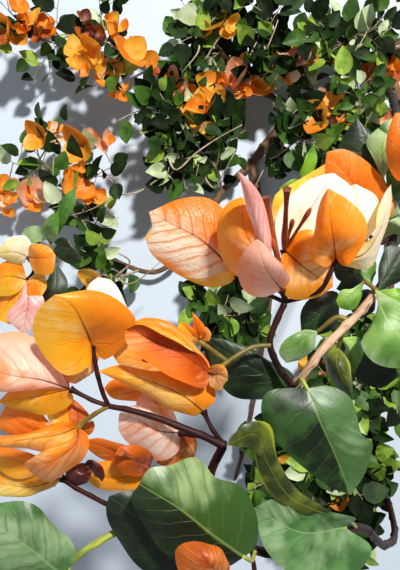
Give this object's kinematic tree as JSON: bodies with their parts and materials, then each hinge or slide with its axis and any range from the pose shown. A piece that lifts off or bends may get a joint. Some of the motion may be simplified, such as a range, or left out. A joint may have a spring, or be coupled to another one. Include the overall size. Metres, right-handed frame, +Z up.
{
  "type": "cut bougainvillea bough",
  "caption": "Cut flowering bough of bougainvillea: woody stems lying flat, shoots arching up to papery orange blooms and broad leaves, leafy sprays along the stems.",
  "frame": {"origin": "centre of the bounding box's underside, on the ground that the bough lies on", "axes": "+Z up from the ground, +Y along the bough's longer side, towards the top of the picture, +X towards the picture's right"},
  "size_m": [0.5079, 0.6323, 0.386],
  "materials": {
    "bark": "rough brown bark",
    "twig": "smooth maroon-brown young bark",
    "bract": "thin papery orange bracts with fine veins",
    "leaf": "green leaf with a soft sheen",
    "spray": "green leaves and small orange bracts on thin twigs"
  },
  "bodies": {
    "root": {"arching_shoot": "twig", "bloom_far_left": "bract", "bloom_far_left_low": "bract", "bloom_left": "bract", "bloom_left_crown": "bract", "bloom_left_gold": "bract", "bloom_left_low": "bract", "bloom_low_edge": "bract", "bloom_middle_gold": "bract", "bloom_middle_low": "bract", "bloom_middle_pink": "bract", "bloom_middle_red": "bract", "bloom_right_edge": "bract", "bloom_upper_back": "bract", "bloom_upper_centre": "bract", "bloom_upper_left": "bract", "bloom_upper_middle": "bract", "bloom_upper_right": "bract", "bloom_young_dark": "bract", "bloom_young_spiky": "bract", "flower_stem_left": "twig", "flower_stem_right": "twig", "leaf_centre_dark": "leaf", "leaf_low_corner": "leaf", "leaf_low_dark": "leaf", "leaf_low_front": "leaf", "leaf_low_right": "leaf", "leaf_olive": "leaf", "leaf_right_large": "leaf", "leafy_twig_back": "leaf", "leafy_twig_left": "leaf", "leafy_twig_low": "leaf", "leafy_twig_middle": "leaf", "leafy_twig_right": "leaf", "leafy_twig_upper": "leaf", "left_bough": "bark", "left_shoot": "twig", "lower_bough": "bark", "lower_shoot": "twig", "main_stem": "bark", "right_bough": "bark", "spray_bottom": "spray", "spray_centre": "spray", "spray_corner_left": "spray", "spray_left_edge": "spray", "spray_left_upper": "spray", "spray_low_centre": "spray", "spray_low_left": "spray", "spray_middle": "spray", "spray_right_corner": "spray", "spray_right_lower": "spray", "spray_right_middle": "spray", "spray_right_upper": "spray", "spray_top_centre": "spray", "spray_top_left": "spray", "spray_top_middle": "spray", "spray_top_right": "spray", "spray_upper_centre": "spray", "upper_bough": "bark", "young_shoot": "leaf"}
  },
  "joints": []
}
